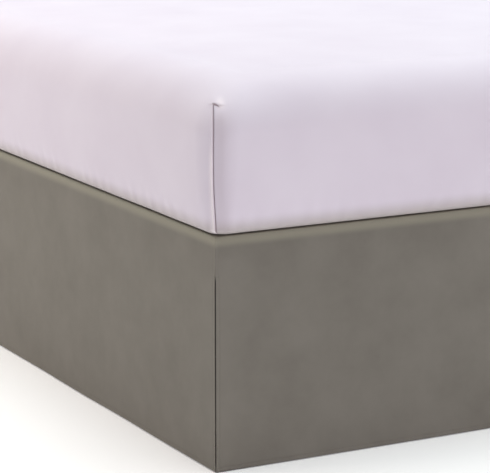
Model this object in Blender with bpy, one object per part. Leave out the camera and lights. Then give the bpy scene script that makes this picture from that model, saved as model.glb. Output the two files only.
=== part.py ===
"""Tailored bed skirt with split corners, hanging over a box spring on a low frame, with its mattress on top.

Metres, +Z up. The origin is on the floor under the middle of the bed.
The foot end faces -Y and the head end faces +Y.
"""

import math

import bmesh
import bpy

INCH = 0.0254
FIT_GAP = 0.0003  # between pieces that touch

# The mattress sets the bed's size: a queen, 60 by 80 inches
MATTRESS_HALF_X = 30 * INCH
MATTRESS_HALF_Y = 40 * INCH
MATTRESS_THICKNESS = 0.250
MATTRESS_CORNER_RADIUS = 0.045
MATTRESS_BOTTOM_RADIUS = 0.025
MATTRESS_SHOULDER_IN = 0.075
MATTRESS_SHOULDER_DOWN = 0.062
MATTRESS_CROWN = 0.007
MATTRESS_CROWN_WIDTH = 0.26
MATTRESS_SIDE_BULGE = 0.004
MATTRESS_CORNER_DROOP = 0.016
MATTRESS_CORNER_REACH = 0.20

# The skirt: one flat deck and three drops of 15 inches, hanging just clear of the floor
DROP = 15 * INCH
HEM_CLEARANCE = 0.002
CLOTH = 0.0015
SHOULDER_RADIUS = 0.012
LIP = 0.013
HEM_HEIGHT = 0.009
HEM_EXTRA = 0.0007
CLOSED_CORNER = 0.066  # sewn shut at the top of each split corner
SPLIT_HALF = 0.0014
HEAD_END_INSET = 0.001

# The hanging cloth wanders outwards in a long wave and a shorter one that leans as it goes down
SLACK = 0.0018
SLACK_FALL = 0.32  # how far down it is fully loose
SLACK_FADE = 0.10  # how far from a panel's ends
LONG_WAVE = 0.53
SHORT_WAVE = 0.31
SHORT_WAVE_SHARE = 0.6
SHORT_WAVE_LEAN = 4.0  # radians for each metre of height

# The box spring, half an inch smaller each way than the mattress
BOX_HALF_X = 29.75 * INCH
BOX_HALF_Y = 39.75 * INCH
BOX_THICKNESS = 0.200
BOX_CORNER_RADIUS = 0.020
BOX_EDGE_RADIUS = 0.014
CLOTH_CLEARANCE = 0.002

# The frame: two side rails, three cross bars and nine turned legs
RAIL_WIDTH = 0.030
RAIL_HEIGHT = 0.040
RAIL_INSET = 0.060
RAIL_BEVEL = 0.002
CROSS_BAR_Y = 0.860
LEG_RADIUS = 0.019
FOOT_RADIUS = 0.027
FOOT_HEIGHT = 0.016
LEG_SIDES = 16

# Heights that follow from the sizes above
SKIRT_TOP = HEM_CLEARANCE + DROP
BOX_TOP = SKIRT_TOP - CLOTH - FIT_GAP
BOX_BOTTOM = BOX_TOP - BOX_THICKNESS
RAIL_TOP = BOX_BOTTOM - FIT_GAP
RAIL_BOTTOM = RAIL_TOP - RAIL_HEIGHT
LEG_TOP = RAIL_BOTTOM - FIT_GAP
MATTRESS_BOTTOM = SKIRT_TOP + FIT_GAP
SPLIT_TOP = SKIRT_TOP - CLOSED_CORNER
HEM_TOP = HEM_CLEARANCE + HEM_HEIGHT

# Where the flat outer face of a drop hangs
FACE_X = BOX_HALF_X + CLOTH_CLEARANCE + CLOTH
FACE_Y = BOX_HALF_Y + CLOTH_CLEARANCE + CLOTH
SEAM_INSET = SHOULDER_RADIUS + LIP
HEAD_END_Y = BOX_HALF_Y - HEAD_END_INSET

# Each drop: name, half length, kind of both ends, place, turn in degrees, wave's start and columns of faces
DROPS = (
    ("foot_drop", FACE_X, ("split", "split"), (0, -FACE_Y, 0), 0, 0.9, 30),
    ("side_drop_left", FACE_Y, ("plain", "split"), (-FACE_X, 0, 0), -90, 2.2, 38),
    ("side_drop_right", FACE_Y, ("split", "plain"), (FACE_X, 0, 0), 90, 4.0, 38),
)

# Each finish: name, colour, roughness and metallic value
FINISHES = (
    ("skirt_cloth", (0.19, 0.17, 0.15), 0.75, 0.0),
    ("deck_cloth", (0.55, 0.54, 0.52), 0.90, 0.0),
    ("mattress_cover", (0.80, 0.76, 0.82), 0.80, 0.0),
    ("box_cover", (0.10, 0.10, 0.11), 0.90, 0.0),
    ("frame_steel", (0.06, 0.05, 0.05), 0.45, 1.0),
)


def make_materials():
    made = {}
    for name, colour, roughness, metallic in FINISHES:
        material = bpy.data.materials.new(name)
        material.use_nodes = True
        shader = material.node_tree.nodes["Principled BSDF"]
        shader.inputs["Base Color"].default_value = (*colour, 1.0)
        shader.inputs["Roughness"].default_value = roughness
        shader.inputs["Metallic"].default_value = metallic
        made[name] = material
    return made


def add_object(name, bm, material, location=(0, 0, 0), turn=0.0, smooth_angle=None):
    """Closes the bmesh into a named object, with its faces pointing out."""
    bmesh.ops.recalc_face_normals(bm, faces=bm.faces)
    mesh = bpy.data.meshes.new(name)
    bm.to_mesh(mesh)
    bm.free()
    mesh.materials.append(material)
    if smooth_angle is not None:
        mesh.shade_smooth()
        mesh.set_sharp_from_angle(angle=smooth_angle)
    thing = bpy.data.objects.new(name, mesh)
    thing.location = location
    thing.rotation_euler.z = turn
    bpy.context.scene.collection.objects.link(thing)
    return thing


def eased(value):
    """0 to 1 with a soft start and end."""
    value = min(1.0, max(0.0, value))
    return value * value * (3 - 2 * value)


def stack_rings(rings):
    """A closed shape through rings of equal count, flat at its first and last ring."""
    bm = bmesh.new()
    rows = [[bm.verts.new(point) for point in ring] for ring in rings]
    count = len(rows[0])
    for lower, upper in zip(rows, rows[1:]):
        for i in range(count):
            j = (i + 1) % count
            bm.faces.new((lower[i], lower[j], upper[j], upper[i]))
    bm.faces.new(rows[0])
    bm.faces.new(rows[-1])
    return bm


def rounded_rectangle(half_x, half_y, radius, corner_steps, side_steps):
    """Plan points, anticlockwise, with each straight side cut into side_steps."""
    points = []
    corners = ((1, 1, 0), (-1, 1, 90), (-1, -1, 180), (1, -1, 270))
    for index, (sign_x, sign_y, start) in enumerate(corners):
        centre_x = sign_x * (half_x - radius)
        centre_y = sign_y * (half_y - radius)
        for step in range(corner_steps + 1):
            angle = math.radians(start + 90 * step / corner_steps)
            points.append((centre_x + radius * math.cos(angle), centre_y + radius * math.sin(angle)))
        next_x, next_y, next_start = corners[(index + 1) % 4]
        first = points[-1]
        angle = math.radians(next_start)
        last = (
            next_x * (half_x - radius) + radius * math.cos(angle),
            next_y * (half_y - radius) + radius * math.sin(angle),
        )
        for step in range(1, side_steps):
            share = step / side_steps
            points.append(tuple(a + (b - a) * share for a, b in zip(first, last)))
    return points


def quarter_turn(steps, radius_in, radius_up):
    """(inset, drop) pairs round an edge, from the upright side to the flat top."""
    pairs = []
    for step in range(steps + 1):
        angle = math.radians(90 * step / steps)
        pairs.append((radius_in * (1 - math.cos(angle)), radius_up * (1 - math.sin(angle))))
    return pairs


def mattress_profile():
    """(inset, height) from the flat bottom, up the bulging side, over the shoulder, to the flat top."""
    bottom = MATTRESS_BOTTOM
    top = bottom + MATTRESS_THICKNESS
    shoulder_top = top - MATTRESS_CROWN
    edge = quarter_turn(4, MATTRESS_BOTTOM_RADIUS, MATTRESS_BOTTOM_RADIUS)
    profile = [(inset, bottom + drop) for inset, drop in reversed(edge)]
    side_low = bottom + MATTRESS_BOTTOM_RADIUS
    side_high = shoulder_top - MATTRESS_SHOULDER_DOWN
    side_rows = 6
    for row in range(1, side_rows):
        profile.append((0.0, side_low + (side_high - side_low) * row / side_rows))
    for inset, drop in quarter_turn(7, MATTRESS_SHOULDER_IN, MATTRESS_SHOULDER_DOWN):
        profile.append((inset, shoulder_top - drop))
    crown_rows = 4
    for row in range(1, crown_rows + 1):
        share = row / crown_rows
        rise = MATTRESS_CROWN * math.sin(math.radians(90 * share))
        profile.append((MATTRESS_SHOULDER_IN + MATTRESS_CROWN_WIDTH * share, shoulder_top + rise))
    return profile


def make_mattress(material):
    """One filled pad: full sides, a deep soft shoulder, corners that droop a little."""
    side_low = MATTRESS_BOTTOM + MATTRESS_BOTTOM_RADIUS
    side_span = MATTRESS_THICKNESS - MATTRESS_BOTTOM_RADIUS - MATTRESS_SHOULDER_DOWN
    corner_tightening = 0.35
    smallest_corner = 0.010
    rings = []
    for inset, height in mattress_profile():
        # The side is widest half way up, and the bulge dies out at both edges
        rise = min(1.0, max(0.0, (height - side_low) / side_span))
        pull = MATTRESS_SIDE_BULGE * (1 - math.sin(math.pi * rise))
        half_x = MATTRESS_HALF_X - pull - inset
        half_y = MATTRESS_HALF_Y - pull - inset
        radius = max(MATTRESS_CORNER_RADIUS - corner_tightening * inset, smallest_corner)
        lift = (height - MATTRESS_BOTTOM) / MATTRESS_THICKNESS
        ring = []
        for x, y in rounded_rectangle(half_x, half_y, radius, 5, 8):
            away = math.hypot(MATTRESS_HALF_X - abs(x), MATTRESS_HALF_Y - abs(y))
            droop = MATTRESS_CORNER_DROOP * eased(1 - away / MATTRESS_CORNER_REACH) * lift**2
            ring.append((x, y, height - droop))
        rings.append(ring)
    add_object("mattress", stack_rings(rings), material, smooth_angle=math.radians(50))


def make_box_spring(material):
    """A plain padded box with softened edges."""
    edge = quarter_turn(4, BOX_EDGE_RADIUS, BOX_EDGE_RADIUS)
    lower = [(inset, BOX_BOTTOM + drop) for inset, drop in reversed(edge)]
    upper = [(inset, BOX_TOP - drop) for inset, drop in edge]
    corner_tightening = 0.8
    rings = []
    for inset, height in lower + upper:
        radius = BOX_CORNER_RADIUS - corner_tightening * inset
        plan = rounded_rectangle(BOX_HALF_X - inset, BOX_HALF_Y - inset, radius, 4, 1)
        rings.append([(x, y, height) for x, y in plan])
    add_object("box_spring", stack_rings(rings), material, smooth_angle=math.radians(50))


def drop_stations(depth):
    """(inset, height, hem share) down one face of a drop, from the deck seam to the hem edge.

    depth is 0 on the outer face and the cloth's thickness on the inner one.
    """
    stations = [(SEAM_INSET, SKIRT_TOP - depth, 0)]
    radius = SHOULDER_RADIUS - depth
    arc_steps = 6
    for step in range(arc_steps + 1):
        angle = math.radians(90 * step / arc_steps)
        inset = SHOULDER_RADIUS - radius * math.sin(angle)
        height = SKIRT_TOP - SHOULDER_RADIUS + radius * math.cos(angle)
        stations.append((inset, height, 0))
    # The corner opens and the hem thickens within a short step of height
    half_step = 0.0008
    open_top = SPLIT_TOP - half_step
    open_low = HEM_TOP + half_step
    heights = [(SKIRT_TOP - SHOULDER_RADIUS + SPLIT_TOP) / 2, SPLIT_TOP + half_step]
    open_rows = 8
    for row in range(open_rows + 1):
        heights.append(open_top + (open_low - open_top) * row / open_rows)
    for height in heights:
        stations.append((depth, height, 0))
    stations.append((depth, HEM_TOP - half_step, 1))
    stations.append((depth, HEM_CLEARANCE, 1))
    return stations


def slack(along, height, phase):
    """How far the hanging cloth stands off its flat face: long, shallow waves that grow downwards."""
    fall = (SKIRT_TOP - SHOULDER_RADIUS - height) / SLACK_FALL
    long_turn = 2 * math.pi * along / LONG_WAVE + phase
    short_turn = 2 * math.pi * along / SHORT_WAVE + 2 * phase + SHORT_WAVE_LEAN * height
    wave = math.sin(long_turn) + SHORT_WAVE_SHARE * math.sin(short_turn)
    share = (1 + wave / (1 + SHORT_WAVE_SHARE)) / 2
    return SLACK * eased(fall) * share


def drop_end(half_length, cut, inset, height):
    """Where a drop stops along its length: at a mitred, split corner, or at the plain head end."""
    if cut == "plain":
        return HEAD_END_Y
    recess = SPLIT_HALF if height < SPLIT_TOP else FIT_GAP / 2
    return half_length - inset - recess


def make_drop(material, name, half_length, cuts, location, turn, phase, columns):
    """One hanging panel, drawn along X with its outer face to -Y, then turned into place.

    Its top rolls over the box spring's edge and ends at the deck seam. Its hem is turned up inside.
    """
    bm = bmesh.new()
    faces = []
    for depth in (0.0, CLOTH):
        grid = []
        for inset, height, in_hem in drop_stations(depth):
            low = -drop_end(half_length, cuts[0], inset, height)
            high = drop_end(half_length, cuts[1], inset, height)
            thicker = HEM_EXTRA * in_hem if depth else 0.0
            row = []
            for column in range(columns + 1):
                along = low + (high - low) * column / columns
                nearest = min(along - low, high - along)
                out = slack(along, height, phase) * eased(nearest / SLACK_FADE)
                row.append(bm.verts.new((along, inset + thicker - out, height)))
            grid.append(row)
        faces.append(grid)
    outer, inner = faces
    last_row = len(outer) - 1
    for r in range(last_row):
        for c in range(columns):
            for grid in faces:
                bm.faces.new((grid[r][c], grid[r][c + 1], grid[r + 1][c + 1], grid[r + 1][c]))
        for c in (0, columns):
            bm.faces.new((outer[r][c], outer[r + 1][c], inner[r + 1][c], inner[r][c]))
    for c in range(columns):
        for r in (0, last_row):
            bm.faces.new((outer[r][c], inner[r][c], inner[r][c + 1], outer[r][c + 1]))
    add_object(name, bm, material, location, math.radians(turn), smooth_angle=math.radians(30))


def make_block(name, material, size, centre, bevel=0.0):
    bm = bmesh.new()
    bmesh.ops.create_cube(bm, size=1.0)
    bmesh.ops.scale(bm, vec=size, verts=bm.verts)
    if bevel:
        bmesh.ops.bevel(
            bm, geom=bm.edges[:], offset=bevel, affect="EDGES", segments=2, profile=0.5, material=-1
        )
    add_object(name, bm, material, location=centre)


def make_deck(material):
    """The flat panel between box spring and mattress that the three drops are sewn to."""
    half_x = FACE_X - SEAM_INSET - FIT_GAP
    foot_y = -(FACE_Y - SEAM_INSET - FIT_GAP)
    head_y = BOX_HALF_Y - BOX_EDGE_RADIUS
    size = (2 * half_x, head_y - foot_y, CLOTH)
    centre = (0, (head_y + foot_y) / 2, SKIRT_TOP - CLOTH / 2)
    make_block("deck", material, size, centre)


def make_frame(material):
    rail_x = BOX_HALF_X - RAIL_INSET - RAIL_WIDTH / 2
    rail_length = 2 * (CROSS_BAR_Y + RAIL_WIDTH)
    rail_middle = (RAIL_TOP + RAIL_BOTTOM) / 2
    for side, sign in (("left", -1), ("right", 1)):
        size = (RAIL_WIDTH, rail_length, RAIL_HEIGHT)
        make_block(f"side_rail_{side}", material, size, (sign * rail_x, 0, rail_middle), RAIL_BEVEL)
    bar_length = 2 * (rail_x - RAIL_WIDTH / 2 - FIT_GAP)
    for place, y in (("foot", -CROSS_BAR_Y), ("middle", 0), ("head", CROSS_BAR_Y)):
        size = (bar_length, RAIL_WIDTH, RAIL_HEIGHT)
        make_block(f"cross_bar_{place}", material, size, (0, y, rail_middle), RAIL_BEVEL)
        for side, x in (("left", -rail_x), ("centre", 0), ("right", rail_x)):
            make_leg(f"leg_{place}_{side}", material, x, y)


def make_leg(name, material, x, y):
    """A turned leg on a wider round foot, which stands flat on the floor."""
    foot_edge = 0.003
    outline = (
        (FOOT_RADIUS - foot_edge, 0.0),
        (FOOT_RADIUS, foot_edge),
        (FOOT_RADIUS, FOOT_HEIGHT - foot_edge),
        (LEG_RADIUS, FOOT_HEIGHT),
        (LEG_RADIUS, LEG_TOP),
    )
    rings = []
    for radius, height in outline:
        angles = [2 * math.pi * i / LEG_SIDES for i in range(LEG_SIDES)]
        rings.append([(radius * math.cos(a), radius * math.sin(a), height) for a in angles])
    add_object(name, stack_rings(rings), material, (x, y, 0), smooth_angle=math.radians(30))


def main():
    for thing in list(bpy.data.objects):
        bpy.data.objects.remove(thing)
    materials = make_materials()
    make_mattress(materials["mattress_cover"])
    make_box_spring(materials["box_cover"])
    make_deck(materials["deck_cloth"])
    for drop in DROPS:
        make_drop(materials["skirt_cloth"], *drop)
    make_frame(materials["frame_steel"])


main()
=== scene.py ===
import math

import bmesh
import bpy
from mathutils import Matrix, Vector, noise


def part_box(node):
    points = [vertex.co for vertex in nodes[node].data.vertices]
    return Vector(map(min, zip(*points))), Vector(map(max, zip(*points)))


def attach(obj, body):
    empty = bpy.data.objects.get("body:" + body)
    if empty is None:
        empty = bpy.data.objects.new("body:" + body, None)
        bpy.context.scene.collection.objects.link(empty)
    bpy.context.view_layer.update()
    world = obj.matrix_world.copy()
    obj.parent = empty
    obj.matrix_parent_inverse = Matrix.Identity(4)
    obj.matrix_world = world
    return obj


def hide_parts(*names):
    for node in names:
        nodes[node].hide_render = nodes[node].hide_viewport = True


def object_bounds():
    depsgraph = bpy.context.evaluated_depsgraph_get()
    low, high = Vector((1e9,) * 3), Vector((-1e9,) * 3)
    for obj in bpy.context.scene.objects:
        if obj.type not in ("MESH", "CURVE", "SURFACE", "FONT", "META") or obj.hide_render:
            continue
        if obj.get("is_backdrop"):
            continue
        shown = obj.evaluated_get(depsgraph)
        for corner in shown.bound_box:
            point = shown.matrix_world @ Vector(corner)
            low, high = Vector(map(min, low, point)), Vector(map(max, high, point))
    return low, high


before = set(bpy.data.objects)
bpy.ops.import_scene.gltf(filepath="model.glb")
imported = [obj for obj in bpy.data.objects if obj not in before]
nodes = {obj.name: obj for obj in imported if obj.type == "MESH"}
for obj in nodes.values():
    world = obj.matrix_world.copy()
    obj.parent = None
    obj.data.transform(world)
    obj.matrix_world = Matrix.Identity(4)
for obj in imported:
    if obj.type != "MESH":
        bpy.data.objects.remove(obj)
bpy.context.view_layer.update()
scene = bpy.context.scene


# The camera stands off the foot's left corner, a little above the mattress, and looks slightly down.
# Its place is measured from the hem of that corner. Its focal length is in pixels of the 490 wide picture.
IMAGE_WIDTH = 490
FOCAL_PIXELS = 2309
CAMERA_FROM_CORNER = Vector((-1.611, -3.118, 1.133))
CAMERA_DOWN = math.radians(12.06)
CAMERA_TURN = math.radians(28.09)

foot_low, foot_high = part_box("foot_drop")
left_low, left_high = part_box("side_drop_left")
hem_corner = Vector((foot_low.x, left_low.y, foot_low.z))
camera_data = bpy.data.cameras.new("camera")
camera_data.sensor_width = 36
camera_data.lens = camera_data.sensor_width * FOCAL_PIXELS / IMAGE_WIDTH
camera = bpy.data.objects.new("camera", camera_data)
camera.location = hem_corner + CAMERA_FROM_CORNER
camera.rotation_euler = (math.pi / 2 - CAMERA_DOWN, 0, -CAMERA_TURN)
scene.collection.objects.link(camera)
scene.camera = camera


# The studio is a plain pale floor in an evenly lit pale room. One softbox hangs close on the left and
# makes the left side fall off downwards, one stands wide behind the camera, and one hangs over the bed.
# The floor glows a little beside the bed, so that it stays near white as in the photo.
FLOOR_SIZE = 60.0
UNDER_EDGE = 0.003  # the floor's glow stops this far inside the skirt
FLOOR_COLOUR = "f7f7f8"
FLOOR_GLOW = 0.23
ROOM_COLOUR = "fff6f9"
ROOM_STRENGTH = 0.32
# Each softbox: name, place, aim, width, height, power in watts and colour
SOFTBOXES = (
    ("left_strip", (-2.1, 0.5, 1.85), (-0.76, 0.3, 0.4), 2.4, 0.6, 26, "fff5e7"),
    ("front_softbox", (0.6, -6.2, 0.9), (0.0, -0.9, 0.4), 3.2, 1.4, 60, "fff2f0"),
    ("top_softbox", (1.3, 0.0, 4.2), (0.6, 0.0, 0.0), 5.6, 5.6, 266, "f4fffc"),
)


def linear(colour):
    """An sRGB hex colour as linear red, green and blue, with an alpha of 1."""
    parts = [int(colour[i : i + 2], 16) / 255 for i in (0, 2, 4)]
    return [c / 12.92 if c <= 0.04045 else ((c + 0.055) / 1.055) ** 2.4 for c in parts] + [1.0]


def add_node(tree, kind, inputs=(), **settings):
    """Adds one node with its settings. An input that is a socket is linked, and any other is a value."""
    node = tree.nodes.new(kind)
    for name, value in settings.items():
        setattr(node, name, value)
    for name, value in dict(inputs).items():
        if isinstance(value, bpy.types.NodeSocket):
            tree.links.new(value, node.inputs[name])
        else:
            node.inputs[name].default_value = value
    return node


def new_material(name, **sockets):
    """A material with its plain numbers set on the shader, given with _ for each space.

    Returns the material, its tree and its shader.
    """
    material = bpy.data.materials.new(name)
    material.use_nodes = True
    shader = material.node_tree.nodes["Principled BSDF"]
    for socket, value in sockets.items():
        shader.inputs[socket.replace("_", " ")].default_value = value
    return material, material.node_tree, shader


def new_piece(name, bm, materials, smooth_angle=None):
    """Makes an object of a bmesh whose faces are where they belong, in metres."""
    mesh = bpy.data.meshes.new(name)
    bm.to_mesh(mesh)
    bm.free()
    for material in materials:
        mesh.materials.append(material)
    if smooth_angle is not None:
        mesh.shade_smooth()
        mesh.set_sharp_from_angle(angle=math.radians(smooth_angle))
    piece = bpy.data.objects.new(name, mesh)
    scene.collection.objects.link(piece)
    return piece


def dress(piece, slot, *replaced):
    """Has a piece ride on the bed and stand for CAD nodes. Its slot is not used."""
    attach(piece, "root")
    if replaced:
        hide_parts(*replaced)


# Matt studio paint: an even pale white with the faintest roller texture
floor_paint, tree, shader = new_material("matt_studio_paint", Roughness=0.9)
shader.inputs["Base Color"].default_value = linear(FLOOR_COLOUR)
shader.inputs["Emission Color"].default_value = linear(FLOOR_COLOUR)
coords = add_node(tree, "ShaderNodeTexCoord")
spot = add_node(tree, "ShaderNodeSeparateXYZ", {"Vector": coords.outputs["Object"]})
within = []
for axis, reach in (("X", -foot_low.x - UNDER_EDGE), ("Y", -left_low.y - UNDER_EDGE)):
    away = add_node(tree, "ShaderNodeMath", {0: spot.outputs[axis]}, operation="ABSOLUTE")
    nearer = add_node(tree, "ShaderNodeMath", {0: away.outputs[0], 1: reach}, operation="LESS_THAN")
    within.append(nearer.outputs[0])
under_bed = add_node(tree, "ShaderNodeMath", {0: within[0], 1: within[1]}, operation="MULTIPLY")
glow = add_node(
    tree,
    "ShaderNodeMath",
    {0: under_bed.outputs[0], 1: -FLOOR_GLOW, 2: FLOOR_GLOW},
    operation="MULTIPLY_ADD",
)
tree.links.new(glow.outputs[0], shader.inputs["Emission Strength"])
grain = add_node(
    tree, "ShaderNodeTexNoise", {"Vector": coords.outputs["Object"], "Scale": 90.0, "Detail": 2.0}
)
relief = add_node(
    tree, "ShaderNodeBump", {"Height": grain.outputs["Fac"], "Strength": 0.05, "Distance": 0.001}
)
tree.links.new(relief.outputs["Normal"], shader.inputs["Normal"])

bm = bmesh.new()
bmesh.ops.create_grid(bm, x_segments=2, y_segments=2, size=FLOOR_SIZE / 2)
floor = new_piece("floor", bm, [floor_paint])
floor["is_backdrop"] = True

for name, place, aim, width, height, power, colour in SOFTBOXES:
    light = bpy.data.lights.new(name, "AREA")
    light.shape = "RECTANGLE"
    light.size = width
    light.size_y = height
    light.energy = power
    light.color = linear(colour)[:3]
    lamp = bpy.data.objects.new(name, light)
    lamp.location = place
    lamp.rotation_euler = (Vector(aim) - Vector(place)).to_track_quat("-Z", "Y").to_euler()
    scene.collection.objects.link(lamp)

world = bpy.data.worlds.new("pale_room")
world.use_nodes = True
world.node_tree.nodes["Background"].inputs["Color"].default_value = linear(ROOM_COLOUR)
world.node_tree.nodes["Background"].inputs["Strength"].default_value = ROOM_STRENGTH
scene.world = world
scene.view_settings.view_transform = "Standard"


# The bed frame is welded square steel tube, powder coated nearly black, which gives a fine orange-peel
# satin. Its rails and bars are the CAD's own. The tube ends have pressed-in plastic caps.
POWDER_COLOUR = "2b2929"
POWDER_WORN = "3a3837"
PEEL_GRAIN = 0.0016
CAP_PROUD = 0.0015
CAP_EDGE = 0.0007
BOLT_RADIUS = 0.0075
BOLT_PROUD = 0.0035

powder_coat, tree, shader = new_material("powder_coated_steel", Roughness=0.42, Metallic=0.0, IOR=1.5)
coords = add_node(tree, "ShaderNodeTexCoord")
peel = add_node(
    tree, "ShaderNodeTexNoise", {"Vector": coords.outputs["Object"], "Scale": 1 / PEEL_GRAIN, "Detail": 1.0}
)
scuffs = add_node(
    tree, "ShaderNodeTexNoise", {"Vector": coords.outputs["Object"], "Scale": 9.0, "Detail": 5.0}
)
worn = add_node(
    tree, "ShaderNodeMapRange", {"Value": scuffs.outputs["Fac"], "From Min": 0.5, "From Max": 0.75}
)
paint = add_node(
    tree,
    "ShaderNodeMix",
    {0: worn.outputs["Result"], 6: linear(POWDER_COLOUR), 7: linear(POWDER_WORN)},
    data_type="RGBA",
)
relief = add_node(
    tree, "ShaderNodeBump", {"Height": peel.outputs["Fac"], "Strength": 0.25, "Distance": 0.0002}
)
tree.links.new(paint.outputs[2], shader.inputs["Base Color"])
tree.links.new(relief.outputs["Normal"], shader.inputs["Normal"])

# Moulded polypropylene: black, matt, with a fine spark-eroded grain
black_plastic, tree, shader = new_material("moulded_polypropylene", Roughness=0.55, IOR=1.49)
shader.inputs["Base Color"].default_value = linear("1b1b1c")
coords = add_node(tree, "ShaderNodeTexCoord")
grain = add_node(
    tree, "ShaderNodeTexNoise", {"Vector": coords.outputs["Object"], "Scale": 1400.0, "Detail": 2.0}
)
relief = add_node(
    tree, "ShaderNodeBump", {"Height": grain.outputs["Fac"], "Strength": 0.2, "Distance": 0.0001}
)
tree.links.new(relief.outputs["Normal"], shader.inputs["Normal"])

# Zinc-plated steel: a bright grey metal with a slightly cloudy passivated skin
zinc_plate, tree, shader = new_material("zinc_plated_steel", Metallic=1.0, Roughness=0.35)
coords = add_node(tree, "ShaderNodeTexCoord")
cloud = add_node(
    tree, "ShaderNodeTexNoise", {"Vector": coords.outputs["Object"], "Scale": 220.0, "Detail": 3.0}
)
plating = add_node(
    tree,
    "ShaderNodeMix",
    {0: cloud.outputs["Fac"], 6: linear("9a9c9f"), 7: linear("c2c3c4")},
    data_type="RGBA",
)
tree.links.new(plating.outputs[2], shader.inputs["Base Color"])

for name in nodes:
    if name.startswith(("side_rail", "cross_bar")):
        nodes[name].data.materials.clear()
        nodes[name].data.materials.append(powder_coat)

rail_low, rail_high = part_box("side_rail_right")
rail_middle = (rail_low + rail_high) / 2
bar_low, bar_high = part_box("cross_bar_head")

bm = bmesh.new()
for sign_x in (-1, 1):
    for end in (rail_low.y - CAP_PROUD / 2, rail_high.y + CAP_PROUD / 2):
        size = (rail_high.x - rail_low.x, CAP_PROUD, rail_high.z - rail_low.z)
        place = Matrix.Translation((sign_x * rail_middle.x, end, rail_middle.z))
        bmesh.ops.create_cube(bm, size=1, matrix=place @ Matrix.Diagonal((*size, 1)))
bmesh.ops.bevel(
    bm, geom=bm.edges[:], offset=CAP_EDGE, affect="EDGES", segments=2, profile=0.5, material=-1
)
rail_caps = new_piece("rail_caps", bm, [black_plastic], smooth_angle=30)
dress(rail_caps, "frame_steel")

bm = bmesh.new()
bolt_x = rail_low.x - (rail_high.x - rail_low.x)
for bar in ("foot", "middle", "head"):
    low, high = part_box(f"cross_bar_{bar}")
    for face_y in (low.y, high.y):
        for x in (-bolt_x, bolt_x):
            place = Matrix.Translation((x, face_y, (low.z + high.z) / 2))
            shape = Matrix.Diagonal((BOLT_RADIUS, BOLT_PROUD, BOLT_RADIUS, 1))
            bmesh.ops.create_uvsphere(bm, u_segments=24, v_segments=12, radius=1, matrix=place @ shape)
bolts = new_piece("frame_bolts", bm, [zinc_plate], smooth_angle=60)
dress(bolts, "frame_steel")


# Each leg is a round steel tube in the same powder coat, pushed into a moulded plastic foot with a
# collar and a rounded rim, which stands flat on the floor.
FOOT_RIM = 0.003
COLLAR_HEIGHT = 0.010
COLLAR_FILLET = 0.001
COLLAR_EDGE = 0.0008
FOOT_HEIGHT = 0.016
TUBE_TO_FOOT = 19 / 27  # a 38 mm tube in a 54 mm foot
COLLAR_THICKNESS = 0.0018
TUBE_TOP_EDGE = 0.0015
LEG_STEPS = 40


def turned_piece(bm, outline, place):
    """Spins (radius, height) points round an upright axis at place."""
    verts = [bm.verts.new((place.x + radius, place.y, height)) for radius, height in outline]
    edges = [bm.edges.new(pair) for pair in zip(verts, verts[1:])]
    bmesh.ops.spin(
        bm,
        geom=verts + edges,
        cent=(place.x, place.y, 0),
        axis=(0, 0, 1),
        angle=2 * math.pi,
        steps=LEG_STEPS,
        use_merge=True,
    )


for name in sorted(nodes):
    if not name.startswith("leg_"):
        continue
    low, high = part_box(name)
    middle = (low + high) / 2
    foot_radius = (high.x - low.x) / 2
    tube_radius = foot_radius * TUBE_TO_FOOT
    foot_height = FOOT_HEIGHT
    collar = tube_radius + COLLAR_THICKNESS
    bm = bmesh.new()
    turned_piece(
        bm,
        (
            (0.0, low.z),
            (foot_radius - FOOT_RIM, low.z),
            (foot_radius - FOOT_RIM * 0.3, low.z + FOOT_RIM * 0.3),
            (foot_radius, low.z + FOOT_RIM),
            (foot_radius, foot_height - FOOT_RIM),
            (foot_radius - FOOT_RIM * 0.3, foot_height - FOOT_RIM * 0.3),
            (foot_radius - FOOT_RIM, foot_height),
            (collar + COLLAR_FILLET, foot_height),
            (collar, foot_height + COLLAR_FILLET),
            (collar, foot_height + COLLAR_HEIGHT - COLLAR_EDGE),
            (collar - COLLAR_EDGE, foot_height + COLLAR_HEIGHT),
            (tube_radius, foot_height + COLLAR_HEIGHT),
        ),
        middle,
    )
    bmesh.ops.remove_doubles(bm, verts=bm.verts, dist=0.00001)
    foot_faces = len(bm.faces)
    turned_piece(
        bm,
        (
            (tube_radius, foot_height + COLLAR_HEIGHT),
            (tube_radius, high.z - TUBE_TOP_EDGE),
            (tube_radius - TUBE_TOP_EDGE, high.z),
            (0.0, high.z),
        ),
        middle,
    )
    bmesh.ops.remove_doubles(bm, verts=bm.verts, dist=0.00001)
    bmesh.ops.recalc_face_normals(bm, faces=bm.faces)
    bm.faces.ensure_lookup_table()
    for face in bm.faces:
        inside = face.calc_center_median().z < foot_height + COLLAR_HEIGHT - 0.00001
        face.material_index = 1 if inside else 0
    leg = new_piece(f"bed_{name}", bm, [powder_coat, black_plastic], smooth_angle=35)
    dress(leg, "frame_steel", name)


# The box spring is a timber box in charcoal woven upholstery. A folded tape is sewn round its top and
# bottom edges, a thin black dust cover is stapled underneath, and plastic guards cap its lower corners.
BOX_COLOUR = "37383b"
BOX_COLOUR_LIGHT = "4a4b4f"
TAPE_COLOUR = "232427"
DUST_COVER_COLOUR = "1d1d1e"
BOX_CORNER_RADIUS = 0.020
BOX_EDGE_RADIUS = 0.014
BOX_UNEVEN = 0.0008
BOX_YARN = 0.0018  # a coarse yarn, drawn at its real width
TAPE_HALF_WIDTH = 0.0032
TAPE_HALF_THICKNESS = 0.0018
TAPE_INSET = 0.0022
GUARD_REACH = 0.045
GUARD_GAP = 0.0004
GUARD_HEIGHT = 0.040
GUARD_THICKNESS = 0.0012


def eased(value):
    """0 to 1 with a soft start and end."""
    value = min(1.0, max(0.0, value))
    return value * value * (3 - 2 * value)


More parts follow.
